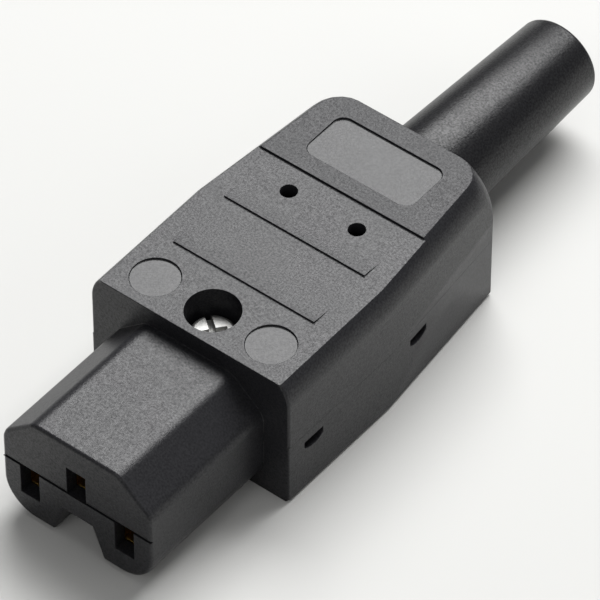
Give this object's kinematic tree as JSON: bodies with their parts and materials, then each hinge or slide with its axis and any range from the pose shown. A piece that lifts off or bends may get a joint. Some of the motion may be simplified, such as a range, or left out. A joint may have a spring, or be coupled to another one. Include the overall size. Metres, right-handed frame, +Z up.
{
  "type": "rewirable appliance power connector",
  "caption": "Straight black appliance power connector with a notched, chamfered nose, a two-part screwed body with wedge grip ribs and a soft tapered bend sleeve at the cable end.",
  "frame": {"origin": "middle of the bounding box at the level of the flat underside", "axes": "+Y from the nose to the cable end, +Z up from the underside to the screw side, +X to the right seen from the nose"},
  "size_m": [0.0294, 0.0912, 0.02],
  "materials": {
    "shell_plastic": "fine moulded grain",
    "sleeve_rubber": "satin",
    "clamp_plastic": "moulded",
    "screw_steel": "nickel plated",
    "contact_brass": "rolled strip",
    "terminal_brass": "turned"
  },
  "bodies": {
    "root": {"upper_shell": "shell_plastic", "lower_shell": "shell_plastic", "bend_sleeve": "sleeve_rubber", "cover_screw": "screw_steel", "cover_nut": "screw_steel", "line_contact": "contact_brass", "neutral_contact": "contact_brass", "earth_contact": "contact_brass", "line_terminal": "terminal_brass", "neutral_terminal": "terminal_brass", "earth_terminal": "terminal_brass", "terminal_screws": "screw_steel", "clamp_screws": "screw_steel", "cable_clamp": "clamp_plastic"}
  },
  "joints": []
}
